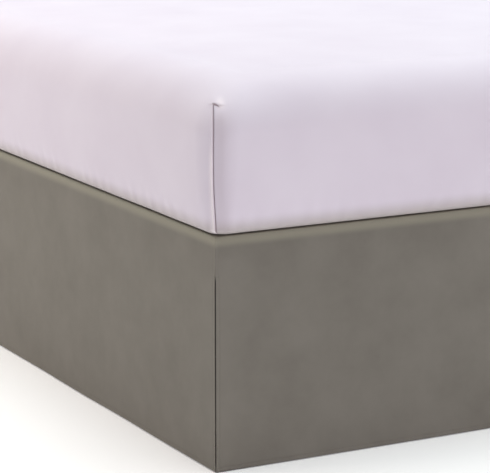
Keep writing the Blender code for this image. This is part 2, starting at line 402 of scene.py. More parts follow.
def rungs(start, stretches):
    """Marks from start on, through stretches of (length, steps)."""
    marks = [start]
    for length, steps in stretches:
        begin = marks[-1]
        for step in range(1, steps + 1):
            marks.append(begin + length * step / steps)
    return marks


def round_corner(bare, half, deep, inset, radius):
    """How far round from the middle of its corner a point of a box's grid lies.

    It is below 0 on the side facing X. bare is the point's (x, y) on the plain box, deep in from its
    outline, and inset is how far in its rounded outline lies.
    """
    side = 0 if half[0] - bare[0] <= half[1] - bare[1] else 1
    along = bare[1 - side]
    bare_end = half[1 - side] - deep
    end = half[1 - side] - inset - radius
    bend = radius * math.pi / 4
    turning = min(radius, bare_end / 2)
    over = along - (bare_end - turning)
    if over > 0:
        far = bend * (1 - over / turning)
    else:
        far = bend + end * (1 - along / (bare_end - turning))
    return far if side else -far


def outline_point(half, inset, radius, far):
    """The point and the outward direction at far round from a rounded corner's middle."""
    bend = radius * math.pi / 4
    end_x, end_y = half[0] - inset - radius, half[1] - inset - radius
    if far <= -bend:
        return (end_x + radius, end_y + far + bend), (1.0, 0.0)
    if far >= bend:
        return (end_x - far + bend, end_y + radius), (0.0, 1.0)
    angle = math.pi / 4 + far / radius
    out = (math.cos(angle), math.sin(angle))
    return (end_x + radius * out[0], end_y + radius * out[1]), out


def gridded_box(marks):
    """A cube cut into a grid at the marks of each axis, with a UV map in metres of cloth."""
    bm = bmesh.new()
    bmesh.ops.create_cube(bm, size=2)
    for axis, row in enumerate(marks):
        edges = [e for e in bm.edges if abs(e.verts[0].co[axis] - e.verts[1].co[axis]) > 0.001]
        bmesh.ops.subdivide_edges(bm, edges=edges, cuts=len(row) - 2, use_grid_fill=True)
    for vert in bm.verts:
        spots = [round((vert.co[axis] + 1) / 2 * (len(marks[axis]) - 1)) for axis in range(3)]
        vert.co = [marks[axis][spots[axis]] for axis in range(3)]
    cloth = bm.loops.layers.uv.new("cloth")
    bm.normal_update()
    for face in bm.faces:
        flat = max(range(3), key=lambda axis: abs(face.normal[axis]))
        u, v = [axis for axis in range(3) if axis != flat]
        for loop in face.loops:
            loop[cloth].uv = (loop.vert.co[u], loop.vert.co[v])
    return bm


def edge_profile(up, deep, thickness, top, bottom, zones):
    """Where a point of a plain box lies on a padded edge: its tilt, how far in and how high.

    top and bottom are the (inwards, up) radii of the edges. zones are how far below the top and above
    the bottom the sides of the plain box belong to them. The crown isn't in it.
    """
    eighth = math.pi / 4
    if up > thickness - 0.00001:
        tilt = 2 * eighth - eighth * max(0.0, 1 - deep / top[0])
    elif up < 0.00001:
        tilt = -2 * eighth + eighth * max(0.0, 1 - deep / bottom[0])
    else:
        tilt = eighth * (max(0.0, 1 - (thickness - up) / zones[0]) - max(0.0, 1 - up / zones[1]))
    if tilt > 0:
        return tilt, top[0] * (1 - math.cos(tilt)), thickness - top[1] * (1 - math.sin(tilt))
    if tilt < 0:
        return tilt, bottom[0] * (1 - math.cos(tilt)), bottom[1] * (1 + math.sin(tilt))
    share = (up - zones[1]) / (thickness - zones[0] - zones[1])
    return 0.0, 0.0, bottom[1] + share * (thickness - top[1] - bottom[1])


def shape_pad(bm, low, high, form, relief, drift=None):
    """Moves a gridded box's points onto a padded form.

    form has the (radius, how fast it tightens inwards, smallest radius) of its upright corners, the radii
    and zones of its edges, and how far its sides are drawn in at the foot, how much its corners tighten
    there and how high that fades. relief gives each point's rise along its outward direction and its sag,
    and drift how far it moves round its corner. Returns each point's place round its corner, its height
    and its tilt.
    """
    thickness = high.z - low.z
    half = (high.x, high.y)
    spots = {}
    for vert in bm.verts:
        x, y, z = vert.co
        deep = min(high.x - abs(x), high.y - abs(y))
        tilt, inset, height = edge_profile(z - low.z, deep, thickness, *form["edges"])
        inset += max(0.0, deep - form["edges"][0 if tilt > 0 else 1][0])
        draw, tightened, fade = form["drawn_in"]
        inset += draw * (1 - math.sin(math.pi * height / thickness))
        radius = form["corner"][0] - form["corner"][1] * inset - tightened * math.exp(-height / fade)
        radius = max(radius, form["corner"][2])
        far = round_corner((abs(x), abs(y)), half, deep, inset, radius)
        shift = drift(far, height, deep) if drift else 0.0
        point, out = outline_point(half, inset, radius, far + shift)
        place = Vector((math.copysign(point[0], x), math.copysign(point[1], y), low.z + height))
        rise, sag = relief(place, height, tilt, deep, far)
        side = math.cos(tilt) * rise
        move = (
            math.copysign(out[0] * side, x),
            math.copysign(out[1] * side, y),
            math.sin(tilt) * rise - sag,
        )
        vert.co = place + Vector(move)
        spots[vert] = (far, height, tilt)
    return spots


# Woven polypropylene border: charcoal with a coarse dry weave that catches a little light
box_weave, tree, shader = new_material("woven_polypropylene", Roughness=0.8, IOR=1.49)
shader.inputs["Sheen Weight"].default_value = 0.15
cloth = add_node(tree, "ShaderNodeUVMap", uv_map="cloth")
turn = add_node(tree, "ShaderNodeMapping", {"Vector": cloth.outputs["UV"], "Rotation": (0, 0, math.pi / 4)})
yarns = [
    add_node(
        tree,
        "ShaderNodeTexWave",
        {"Vector": turn.outputs["Vector"], "Scale": 0.314 / BOX_YARN, "Distortion": 0.4},
        bands_direction=direction,
    )
    for direction in "XY"
]
weave = add_node(
    tree, "ShaderNodeMath", {0: yarns[0].outputs["Fac"], 1: yarns[1].outputs["Fac"]}, operation="MULTIPLY"
)
yarn_colour = add_node(
    tree,
    "ShaderNodeMix",
    {0: weave.outputs["Value"], 6: linear(BOX_COLOUR), 7: linear(BOX_COLOUR_LIGHT)},
    data_type="RGBA",
)
relief = add_node(
    tree, "ShaderNodeBump", {"Height": weave.outputs["Value"], "Strength": 0.4, "Distance": 0.0004}
)
tree.links.new(yarn_colour.outputs[2], shader.inputs["Base Color"])
tree.links.new(relief.outputs["Normal"], shader.inputs["Normal"])

# Folded polyester tape: a little darker and smoother than the border, with fine ribs across it
box_tape, tree, shader = new_material("woven_edge_tape", Roughness=0.65, IOR=1.5)
shader.inputs["Base Color"].default_value = linear(TAPE_COLOUR)
coords = add_node(tree, "ShaderNodeTexCoord")
ribs = add_node(tree, "ShaderNodeTexNoise", {"Vector": coords.outputs["Object"], "Scale": 900.0})
relief = add_node(
    tree, "ShaderNodeBump", {"Height": ribs.outputs["Fac"], "Strength": 0.5, "Distance": 0.0003}
)
tree.links.new(relief.outputs["Normal"], shader.inputs["Normal"])

# Spunbond dust cover: black, thin and fibrous
dust_cover, tree, shader = new_material("spunbond_dust_cover", Roughness=0.9, IOR=1.49)
shader.inputs["Base Color"].default_value = linear(DUST_COVER_COLOUR)
coords = add_node(tree, "ShaderNodeTexCoord")
fibres = add_node(
    tree, "ShaderNodeTexNoise", {"Vector": coords.outputs["Object"], "Scale": 500.0, "Detail": 4.0}
)
relief = add_node(
    tree, "ShaderNodeBump", {"Height": fibres.outputs["Fac"], "Strength": 0.5, "Distance": 0.0003}
)
tree.links.new(relief.outputs["Normal"], shader.inputs["Normal"])

box_low, box_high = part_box("box_spring")
box_ends = ((0.024, 8), (0.056, 4))
box_marks = []
for axis in range(2):
    middle = 2 * box_high[axis] - 0.16
    box_marks.append(rungs(-box_high[axis], (*box_ends, (middle, 40), *reversed(box_ends))))
box_marks.append(rungs(box_low.z, ((0.014, 5), (box_high.z - box_low.z - 0.028, 14), (0.014, 5))))


def box_relief(place, height, tilt, deep, far):
    """The cover's slight unevenness over its padding and timber."""
    return BOX_UNEVEN * noise.noise(place * 9) - BOX_UNEVEN, 0.0


BOX_FORM = {
    "corner": (BOX_CORNER_RADIUS, 1.0, 0.006),
    "edges": ((BOX_EDGE_RADIUS, BOX_EDGE_RADIUS), (BOX_EDGE_RADIUS, BOX_EDGE_RADIUS), (0.014, 0.014)),
    "drawn_in": (0.003, 0.0, 0.050),
}
bm = gridded_box(box_marks)
shape_pad(bm, box_low, box_high, BOX_FORM, box_relief)
for face in bm.faces:
    face.material_index = 1 if face.calc_center_median().z < box_low.z + 0.002 else 0
box_spring = new_piece("upholstered_box_spring", bm, [box_weave, dust_cover], smooth_angle=60)
dress(box_spring, "box_cover", "box_spring")


def loop_piece(name, path, radius, height, material, slot):
    """A round cord, flattened to the given height, that follows a closed path."""
    bm = bmesh.new()
    bmesh.ops.create_circle(bm, segments=10, radius=radius)
    ring = bm.verts[:]
    count = len(path)
    for vert in ring:
        vert.co = (vert.co.x, vert.co.y, 0)
    shape = [(vert.co.x, vert.co.y * height / radius) for vert in ring]
    rings = []
    for spot in range(count):
        ahead = (path[(spot + 1) % count] - path[spot - 1]).normalized()
        across = ahead.cross(Vector((0, 0, 1))).normalized()
        lift = across.cross(ahead)
        rings.append([bm.verts.new(path[spot] + across * x + lift * y) for x, y in shape])
    bmesh.ops.delete(bm, geom=ring, context="VERTS")
    edges = []
    for verts in rings:
        edges.append([bm.edges.new((verts[i], verts[(i + 1) % len(verts)])) for i in range(len(verts))])
    for spot in range(count):
        bmesh.ops.bridge_loops(bm, edges=edges[spot] + edges[(spot + 1) % count])
    bmesh.ops.recalc_face_normals(bm, faces=bm.faces)
    piece = new_piece(name, bm, [material], smooth_angle=60)
    dress(piece, slot)
    return piece


def rounded_path(half_x, half_y, radius, z):
    """Points round a rectangle with rounded corners, close on the corners and wide along the sides."""
    path = []
    for turn, (sign_x, sign_y) in enumerate(((1, 1), (-1, 1), (-1, -1), (1, -1))):
        centre = Vector((sign_x * (half_x - radius), sign_y * (half_y - radius), z))
        for step in range(9):
            angle = math.pi / 2 * (turn + step / 8)
            path.append(centre + radius * Vector((math.cos(angle), math.sin(angle), 0)))
        length = 2 * ((half_y if turn % 2 else half_x) - radius)
        ahead = Vector((-math.sin(angle), math.cos(angle), 0))
        end = path[-1]
        path.extend(end + ahead * length * step / 24 for step in range(1, 24))
    return path


for name, z in (
    ("box_top_tape", box_high.z - BOX_EDGE_RADIUS),
    ("box_bottom_tape", box_low.z + BOX_EDGE_RADIUS),
):
    path = rounded_path(box_high.x - TAPE_INSET, box_high.y - TAPE_INSET, BOX_CORNER_RADIUS, z)
    loop_piece(name, path, TAPE_HALF_THICKNESS, TAPE_HALF_WIDTH, box_tape, "box_cover")

bm = bmesh.new()
for sign_x in (-1, 1):
    for sign_y in (-1, 1):
        middle_x, middle_y = box_high.x - BOX_CORNER_RADIUS, box_high.y - BOX_CORNER_RADIUS
        centre = Vector((sign_x * middle_x, sign_y * middle_y, 0))
        reach = GUARD_REACH - BOX_CORNER_RADIUS
        wall = [Vector((BOX_CORNER_RADIUS + GUARD_GAP, -reach, 0))]
        for step in range(9):
            angle = math.pi / 2 * step / 8
            wall.append((BOX_CORNER_RADIUS + GUARD_GAP) * Vector((math.cos(angle), math.sin(angle), 0)))
        wall.append(Vector((-reach, BOX_CORNER_RADIUS + GUARD_GAP, 0)))
        verts = [
            bm.verts.new(centre + Vector((sign_x * p.x, sign_y * p.y, box_low.z + BOX_EDGE_RADIUS * 0.6)))
            for p in wall
        ]
        edges = [bm.edges.new(pair) for pair in zip(verts, verts[1:])]
        made = bmesh.ops.extrude_edge_only(bm, edges=edges)
        risen = [part for part in made["geom"] if isinstance(part, bmesh.types.BMVert)]
        bmesh.ops.translate(bm, verts=risen, vec=(0, 0, GUARD_HEIGHT - BOX_EDGE_RADIUS * 0.6))
for face in bm.faces:
    face.normal_update()
    if face.normal.dot(face.calc_center_median() - Vector((0, 0, face.calc_center_median().z))) < 0:
        face.normal_flip()
bmesh.ops.solidify(bm, geom=bm.faces[:], thickness=-GUARD_THICKNESS)
bmesh.ops.recalc_face_normals(bm, faces=bm.faces)
guards = new_piece("box_corner_guards", bm, [black_plastic], smooth_angle=35)
dress(guards, "box_cover")


# The skirt is soft brushed microfibre in stone grey. Its deck is a thin white non-woven sheet that lies on
# the box spring and is held there by the mattress. Three drops are sewn round its left, right and foot
# edges, each with a narrow turned hem. The seams at the two foot corners stop a little below the top.
CLOTH_THICKNESS = 0.0004
DECK_THICKNESS = 0.0004
SKIRT_DARK = "6c6861"
SKIRT_LIGHT = "75716a"
SKIRT_CLOUDS = 0.080  # the brushed nap lies in soft clouds about this wide
SHOULDER_IN = 0.003
SHOULDER_DOWN = 0.014
SHOULDER_LENGTH = 0.0149  # along the quarter of that oval
LIP = 0.018
FOLD_RADIUS = 0.00055
CLOSED_CORNER = 0.063
CLOSED_RECESS = 0.00015
SPLIT_RECESS = 0.0018
SPLIT_OPENS = 0.006
STITCH_UP = 0.0065
STITCH_IN = 0.0055
GROOVE_DEPTH = 0.0005
GROOVE_WIDTH = 0.0011
MITRE_REACH = 0.07
STITCH_PITCH = 0.0030
STITCH_LENGTH = 0.0021
STITCH_RADIUS = 0.00024
THREAD_COLOUR = "57534f"

# The cloth's shallow waves are those of the CAD
SLACK = 0.0018
SLACK_FALL = 0.32
SLACK_FADE = 0.10
LONG_WAVE = 0.53
SHORT_WAVE = 0.31
SHORT_WAVE_SHARE = 0.6
SHORT_WAVE_LEAN = 4.0
FINE_WAVE = 0.00035
TOP_LEAN = 0.0012
TOP_LEAN_FADE = 0.022

skirt_top = foot_high.z
hem = foot_low.z
face_x = -foot_low.x
face_y = -left_low.y
head_end = left_high.y
split_top = skirt_top - CLOSED_CORNER


def slack(along, height, nearest, phase):
    """How far the cloth hangs out from the plane of its side."""
    fall = (skirt_top - SHOULDER_DOWN - height) / SLACK_FALL
    long_turn = 2 * math.pi * along / LONG_WAVE + phase
    short_turn = 2 * math.pi * along / SHORT_WAVE + 2 * phase + SHORT_WAVE_LEAN * height
    wave = math.sin(long_turn) + SHORT_WAVE_SHARE * math.sin(short_turn)
    share = (1 + wave / (1 + SHORT_WAVE_SHARE)) / 2
    fine = FINE_WAVE * noise.noise(Vector((along * 11, phase * 7, height * 7)))
    return (SLACK * share * eased(fall) + fine * eased(2 * fall)) * eased(nearest / SLACK_FADE)


def turned_in(past, radius):
    """How far ahead of a fold's start and how far in a point lies, past metres beyond that start."""
    angle = min(math.pi, max(0.0, past) / radius)
    back = max(0.0, past - math.pi * radius)
    return radius * math.sin(angle) - back, radius * (1 - math.cos(angle))


# Each drop: where its two ends are along it and how each is cut, where it hangs, its turn and its waves
QUARTER = math.pi / 2
DROPS = {
    "foot_drop": ((face_x, "split"), (face_x, "split"), (0, -face_y, 0), 0.0, 0.9),
    "side_drop_left": ((head_end, "plain"), (face_y, "split"), (-face_x, 0, 0), -QUARTER, 2.2),
    "side_drop_right": ((face_y, "split"), (head_end, "plain"), (face_x, 0, 0), QUARTER, 4.0),
}


def drop_point(column, row, end, cut, phase):
    """One point of a drop in its own frame: X along the side, Y outwards below 0, Z up."""
    sign = math.copysign(1, column)
    past = abs(column) - (end - FOLD_RADIUS)
    ahead, inwards = turned_in(past, FOLD_RADIUS)
    along = end - FOLD_RADIUS + (ahead if past > 0 else past)
    near_end = eased(1 - (end - abs(along)) / 0.012)
    lying = 0.0
    if row < LIP:
        out, height = row - LIP - SHOULDER_IN, skirt_top
        lying = 1.0
    elif row < LIP + SHOULDER_LENGTH:
        angle = QUARTER * (row - LIP) / SHOULDER_LENGTH
        out, height = SHOULDER_IN * (math.sin(angle) - 1), skirt_top - SHOULDER_DOWN * (1 - math.cos(angle))
        lying = math.cos(angle)
    else:
        down = row - LIP - SHOULDER_LENGTH
        length = skirt_top - SHOULDER_DOWN - hem - FOLD_RADIUS
        below, folded = turned_in(down - length, FOLD_RADIUS)
        height = hem + FOLD_RADIUS - below if down > length else skirt_top - SHOULDER_DOWN - down
        out = -folded * (1 + near_end)
    lean = TOP_LEAN * math.exp(-max(0.0, skirt_top - SHOULDER_DOWN - height) / TOP_LEAN_FADE)
    out -= lean
    recess = 0.0
    if cut == "split":
        opens = eased((split_top - height) / SPLIT_OPENS + 0.5)
        recess = CLOSED_RECESS + (SPLIT_RECESS - CLOSED_RECESS) * opens + (lean if lying == 0 else -out)
    nearest = end - along
    along -= recess * eased(1 - nearest / MITRE_REACH)
    swell = 0.0
    if lying == 0:
        swell = slack(sign * along, height, nearest, phase)
        if inwards == 0 and row < LIP + SHOULDER_LENGTH + length:
            for spot in (height - hem - STITCH_UP, nearest - STITCH_IN):
                swell -= GROOVE_DEPTH * math.exp(-((spot / GROOVE_WIDTH) ** 2))
    level = height - inwards * lying
    return Vector((sign * along, inwards * (1 - lying) - out - swell, level))


def drop_marks(name):
    """The columns and rows at which a drop is drawn, close together at its edges."""
    start, finish = DROPS[name][:2]
    turn = ((0.018, 14), (math.pi * FOLD_RADIUS, 6), (0.008, 4))
    reach = start[0] + finish[0] - 2 * FOLD_RADIUS - 0.036
    begin = -(start[0] - FOLD_RADIUS) - math.pi * FOLD_RADIUS - 0.008
    columns = rungs(begin, (*reversed(turn), (reach, round(reach / 0.008)), *turn))
    length = skirt_top - SHOULDER_DOWN - hem - FOLD_RADIUS
    fall = ((0.020, 8), (length - 0.034, 46), (0.014, 12))
    rows = rungs(0, ((LIP, 4), (SHOULDER_LENGTH, 12), *fall, (math.pi * FOLD_RADIUS, 6), (0.008, 4)))
    return columns, rows


def marked_grid(columns, rows, shape):
    """A grid with one point for each column and row, moved by shape, and a UV map in metres of cloth."""
    bm = bmesh.new()
    across, down = len(columns) - 1, len(rows) - 1
    bmesh.ops.create_grid(bm, x_segments=across, y_segments=down, size=1)
    cloth = bm.loops.layers.uv.new("cloth")
    spots = {}
    for vert in bm.verts:
        spots[vert] = (round((vert.co.x + 1) / 2 * across), round((1 - vert.co.y) / 2 * down))
    for face in bm.faces:
        for loop in face.loops:
            column, row = spots[loop.vert]
            loop[cloth].uv = (columns[column], -rows[row])
    for vert, (column, row) in spots.items():
        vert.co = shape(columns[column], rows[row])
    return bm


def thicken(piece, thickness):
    """Gives a sheet its thickness inwards."""
    modifier = piece.modifiers.new("thickness", "SOLIDIFY")
    modifier.thickness = thickness
    modifier.offset = -1


# Brushed polyester microfibre: stone grey, with a short nap that lies in soft clouds and pales at grazing
# angles, over a fine plain weave. Along the rolled top edge it is painted paler, a painted highlight for the
# light that edge catches from above. The yarns are drawn at 0.9 mm, coarser than the real 0.25 mm.
MICROFIBRE_YARN = 0.0009
# Painted highlight: the paler colour of the rolled top edge, and how far down it fades out
LIT_TOP_EDGE_COLOUR = "898679"
LIT_TOP_EDGE_DEPTH = 0.020
microfibre, tree, shader = new_material("brushed_microfibre", Roughness=0.85, IOR=1.5)
shader.inputs["Sheen Weight"].default_value = 0.25
shader.inputs["Sheen Roughness"].default_value = 0.45
shader.inputs["Sheen Tint"].default_value = linear("cfc8be")
cloth = add_node(tree, "ShaderNodeUVMap", uv_map="cloth")
coords = add_node(tree, "ShaderNodeTexCoord")
clouds = add_node(
    tree,
    "ShaderNodeTexNoise",
    {"Vector": coords.outputs["Object"], "Scale": 1 / SKIRT_CLOUDS, "Detail": 4.0, "Roughness": 0.6},
)
cloud_share = add_node(
    tree, "ShaderNodeMapRange", {"Value": clouds.outputs["Fac"], "From Min": 0.3, "From Max": 0.7}
)
nap = add_node(
    tree,
    "ShaderNodeMix",
    {0: cloud_share.outputs["Result"], 6: linear(SKIRT_DARK), 7: linear(SKIRT_LIGHT)},
    data_type="RGBA",
)
# Painted highlight: the top band is mixed towards the paler colour, fading out below it
top_highlight_share = add_node(
    tree,
    "ShaderNodeMapRange",
    {
        "Value": add_node(tree, "ShaderNodeSeparateXYZ", {"Vector": coords.outputs["Object"]}).outputs["Z"],
        "From Min": skirt_top - LIT_TOP_EDGE_DEPTH,
        "From Max": skirt_top - 0.006,
        "To Max": 1.0,
    },
    interpolation_type="SMOOTHSTEP",
)
base = add_node(
    tree,
    "ShaderNodeMix",
    {0: top_highlight_share.outputs["Result"], 6: nap.outputs[2], 7: linear(LIT_TOP_EDGE_COLOUR)},
    data_type="RGBA",
)
fuzz = add_node(
    tree, "ShaderNodeTexNoise", {"Vector": cloth.outputs["UV"], "Scale": 1 / 0.0022, "Detail": 3.0}
)
yarns = [
    add_node(
        tree,
        "ShaderNodeTexWave",
        {"Vector": cloth.outputs["UV"], "Scale": 0.314 / MICROFIBRE_YARN, "Distortion": 0.6},
        bands_direction=direction,
    )
    for direction in "XY"
]
weave = add_node(tree, "ShaderNodeMath", {0: yarns[0].outputs["Fac"], 1: yarns[1].outputs["Fac"]})
surface = add_node(
    tree, "ShaderNodeMath", {0: weave.outputs["Value"], 1: fuzz.outputs["Fac"]}, operation="ADD"
)
relief = add_node(
    tree, "ShaderNodeBump", {"Height": surface.outputs["Value"], "Strength": 0.12, "Distance": 0.0003}
)
tree.links.new(base.outputs[2], shader.inputs["Base Color"])
tree.links.new(relief.outputs["Normal"], shader.inputs["Normal"])

# Spun polyester sewing thread: the skirt's own colour, a little darker
thread, tree, shader = new_material("spun_polyester_thread", Roughness=0.5, IOR=1.5)
shader.inputs["Base Color"].default_value = linear(THREAD_COLOUR)
coords = add_node(tree, "ShaderNodeTexCoord")
twist = add_node(tree, "ShaderNodeTexNoise", {"Vector": coords.outputs["Object"], "Scale": 2500.0})
relief = add_node(
    tree, "ShaderNodeBump", {"Height": twist.outputs["Fac"], "Strength": 0.4, "Distance": 0.0001}
)
tree.links.new(relief.outputs["Normal"], shader.inputs["Normal"])

# Spunbond non-woven: thin white fleece, pressed with small bond points 1.6 mm apart
spunbond, tree, shader = new_material("white_spunbond", Roughness=0.85, IOR=1.49)
cloth = add_node(tree, "ShaderNodeUVMap", uv_map="cloth")
bonds = add_node(
    tree, "ShaderNodeTexVoronoi", {"Vector": cloth.outputs["UV"], "Scale": 1 / 0.0016, "Randomness": 0.1}
)
fibres = add_node(tree, "ShaderNodeTexNoise", {"Vector": cloth.outputs["UV"], "Scale": 300.0, "Detail": 4.0})
fleece = add_node(
    tree,
    "ShaderNodeMix",
    {0: fibres.outputs["Fac"], 6: linear("d9d9d7"), 7: linear("f0f0ee")},
    data_type="RGBA",
)
relief = add_node(
    tree, "ShaderNodeBump", {"Height": bonds.outputs["Distance"], "Strength": 0.4, "Distance": 0.0003}
)
tree.links.new(fleece.outputs[2], shader.inputs["Base Color"])
tree.links.new(relief.outputs["Normal"], shader.inputs["Normal"])


stitch = bmesh.new()
bmesh.ops.create_uvsphere(stitch, u_segments=6, v_segments=4, radius=1)
stitch.verts.index_update()


def stitch_row(bm, name, spots):
    """Lays a stitch at each (column, row, turned upright) of a drop, half sunk into its cloth."""
    start, finish, place, turn, phase = DROPS[name]
    hang = Matrix.Translation(place) @ Matrix.Rotation(turn, 4, "Z")
    for column, row, upright in spots:
        end, cut = finish if column > 0 else start
        size = Vector((STITCH_LENGTH / 2, STITCH_RADIUS, STITCH_RADIUS))
        if upright:
            size = Vector((STITCH_RADIUS, STITCH_RADIUS, STITCH_LENGTH / 2))
        seated = hang @ Matrix.Translation(drop_point(column, row, end, cut, phase))
        lay = seated @ Matrix.Diagonal((*size, 1))
        verts = [bm.verts.new(lay @ vert.co) for vert in stitch.verts]
        for face in stitch.faces:
            bm.faces.new([verts[vert.index] for vert in face.verts])


for name, (start, finish, place, turn, phase) in DROPS.items():
    columns, rows = drop_marks(name)

    def shape(column, row):
        end, cut = finish if column > 0 else start
        return drop_point(column, row, end, cut, phase)

    bm = marked_grid(columns, rows, shape)
    hang = Matrix.Translation(place) @ Matrix.Rotation(turn, 4, "Z")
    bmesh.ops.transform(bm, matrix=hang, verts=bm.verts)
    piece = new_piece(f"skirt_{name}", bm, [microfibre], smooth_angle=80)
    dress(piece, "skirt_cloth", name)
    thicken(piece, CLOTH_THICKNESS)

    bm = bmesh.new()
    first, last = -(start[0] - STITCH_IN), finish[0] - STITCH_IN
    count = round((last - first) / STITCH_PITCH)
    hem_row = LIP + SHOULDER_LENGTH + skirt_top - SHOULDER_DOWN - hem - STITCH_UP
    stitch_row(bm, name, [(first + (last - first) * i / count, hem_row, False) for i in range(count + 1)])
    top_row = LIP + SHOULDER_LENGTH + 0.004
    for (end, cut), sign in ((start, -1), (finish, 1)):
        from_row = top_row + CLOSED_CORNER - SHOULDER_DOWN - 0.004 if cut == "split" else top_row
        count = round((hem_row - from_row) / STITCH_PITCH)
        rows_of = [from_row + (hem_row - from_row) * i / count for i in range(count)]
        stitch_row(bm, name, [(sign * (end - STITCH_IN), row, True) for row in rows_of])
        if cut == "split":
            across = [sign * (end - 0.0008 - STITCH_IN * i / 3) for i in range(4)]
            stitch_row(bm, name, [(column, from_row + 0.0004, False) for column in across])
    stitches = new_piece(f"{name}_stitches", bm, [thread], smooth_angle=60)
    dress(stitches, "skirt_cloth")

deck_low, deck_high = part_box("deck")


def deck_point(column, row):
    """The deck lies on the box spring with hardly a ripple."""
    lift = 0.00012 * (1 + noise.noise(Vector((column * 14, row * 14, 0))))
    return Vector((column, deck_high.y - row, deck_low.z + DECK_THICKNESS + lift))


wide = deck_high.x - deck_low.x
long = deck_high.y - deck_low.y
bm = marked_grid(rungs(deck_low.x, ((wide, 100),)), rungs(0, ((long, 130),)), deck_point)
deck = new_piece("skirt_deck", bm, [spunbond], smooth_angle=60)
thicken(deck, DECK_THICKNESS)
dress(deck, "deck_cloth", "deck")


# The mattress is a plain foam block in a fitted white cotton percale sheet. The sheet is drawn tight over
# the top, puckers softly along its lower edge where it is elasticated, and is folded over at each upright
# corner: the fold starts in a small hood near the top and runs down to the lower edge.
MATTRESS_FORM = {
    "corner": (0.040, 0.35, 0.012),
    "edges": ((0.090, 0.090), (0.010, 0.012), (0.060, 0.031)),
    "drawn_in": (0.010, 0.022, 0.050),
}
SWELL = 0.014
CROWN = 0.007
CROWN_WIDTH = 0.26
DROOP = 0.016
DROOP_REACH = 0.20
SHEET_COLOUR = "d9d2de"
SHEET_SHADE = "cdc4d2"
# Painted shade deep in the fold's crease, under its hood and in the hollow beside it
FOLD_SHADE = "a1929a"
# Painted shade of the lower edge where the sheet turns under, and how high it reaches
LOWER_EDGE_SHADE_COLOUR = "aba3a2"
LOWER_EDGE_SHADE_HEIGHT = 0.034
# Painted highlight on the fold's raised lip and beside its hood, and how wide and how high the lip's reaches
LIP_HIGHLIGHT = "ece3e9"
PALE_WIDTH = 0.0085
PALE_TOP = 0.160
FOLD_HEAD = 0.2095
FOLD_SIDE = 0.0010
FOLD_SIDE_FOOT = -0.0017
FOLD_SIDE_HEAD = 0.0092
FOLD_FOOT_FADE = 0.09
FOLD_LEAN_START = 0.160
FOLD_LEAN_STOP = 0.226
FOLD_LEAN_RISE = 0.056
FOLD_DEPTH = 0.05
FOLD_LIP = 0.0026
FOLD_LIP_WIDTH = 0.0038
FOLD_CREASE = 0.0012
FOLD_CREASE_WIDTH = 0.0005
FOLD_HOLLOW = 0.0009
HOLLOW_AT = 0.006
HOLLOW_WIDTH = 0.005
FOLD_REACH = 0.12
HOOD_WIDTH = 0.0085
HOOD_HEIGHT = 0.006
HOOD_LINE = 0.0013
HOOD_RISE = 0.0022
PUCKER_WIDTH = 0.038
PUCKER_REACH = 0.060
PUCKER_DEPTH = 0.0010
SHEET_YARN = 0.0008
MATTRESS_GRID = 0.024
MATTRESS_ENDS = 0.09  # the finer grid at each end, in metres

mattress_low, mattress_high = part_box("mattress")


def fold_drift(far, height, deep):
    """Moves the grid round so that the fold, which leans a little, lies along the grid's own corner line."""
    side = FOLD_SIDE + FOLD_SIDE_FOOT * eased(1 - height / FOLD_FOOT_FADE)
    risen = max(0.0, min(height, FOLD_LEAN_STOP) - FOLD_LEAN_START)
    side += FOLD_SIDE_HEAD * (risen / FOLD_LEAN_RISE) ** 2
    return -side * (1 - eased(abs(far) / FOLD_REACH)) * (1 - eased(deep / FOLD_DEPTH))


def fold_shadow(far, height):
    """How deep in the fold a point lies, from 0 to 1: its crease, and the small hood over its head."""
    below = eased((FOLD_HEAD - height) / 0.003 + 0.5)
    crease = below * math.exp(-((far / FOLD_CREASE_WIDTH) ** 2))
    reach = min(1.0, max(0.0, far / HOOD_WIDTH))
    arch = FOLD_HEAD - HOOD_HEIGHT * reach**3
    hood = math.exp(-(((height - arch) / HOOD_LINE) ** 2)) * (1 - eased((reach - 0.55) / 0.45))
    return crease, hood if -0.001 < far < HOOD_WIDTH else 0.0


def mattress_relief(place, height, tilt, deep, far):
    """The sheet's fold at the corner, its crown and its broad unevenness."""
    swell = SWELL * math.cos(tilt) + 0.0011 * noise.noise(place * 5.5) + 0.0005 * noise.noise(place * 14)
    below = eased((FOLD_HEAD - height) / 0.006 + 0.5)
    crease, hood = fold_shadow(far, height)
    lip = eased(1 + far / FOLD_LIP_WIDTH) * (1 if far < -0.0001 else 0)
    hollow = math.exp(-(((far - HOLLOW_AT) / HOLLOW_WIDTH) ** 2))
    over = eased((height - FOLD_HEAD) / 0.002 + 0.8) * math.exp(-(((height - FOLD_HEAD) / 0.010) ** 2))
    cap = over * math.exp(-(((far - 0.003) / 0.008) ** 2))
    swell += (
        below * (FOLD_LIP * lip - FOLD_HOLLOW * hollow) - FOLD_CREASE * max(crease, hood) + HOOD_RISE * cap
    )
    sag = math.sin(tilt) * swell if tilt < 0 else 0.0
    if tilt > 0:
        flat = max(0.0, deep - MATTRESS_FORM["edges"][0][0]) / CROWN_WIDTH
        sag = CROWN * math.sin(tilt) * (1 - math.sin(QUARTER * min(1.0, flat)))
        away = (mattress_high.x - abs(place.x), mattress_high.y - abs(place.y))
        sag += DROOP * math.sin(tilt) * eased(1 - away[0] / DROOP_REACH) * eased(1 - away[1] / DROOP_REACH)
    return swell, sag


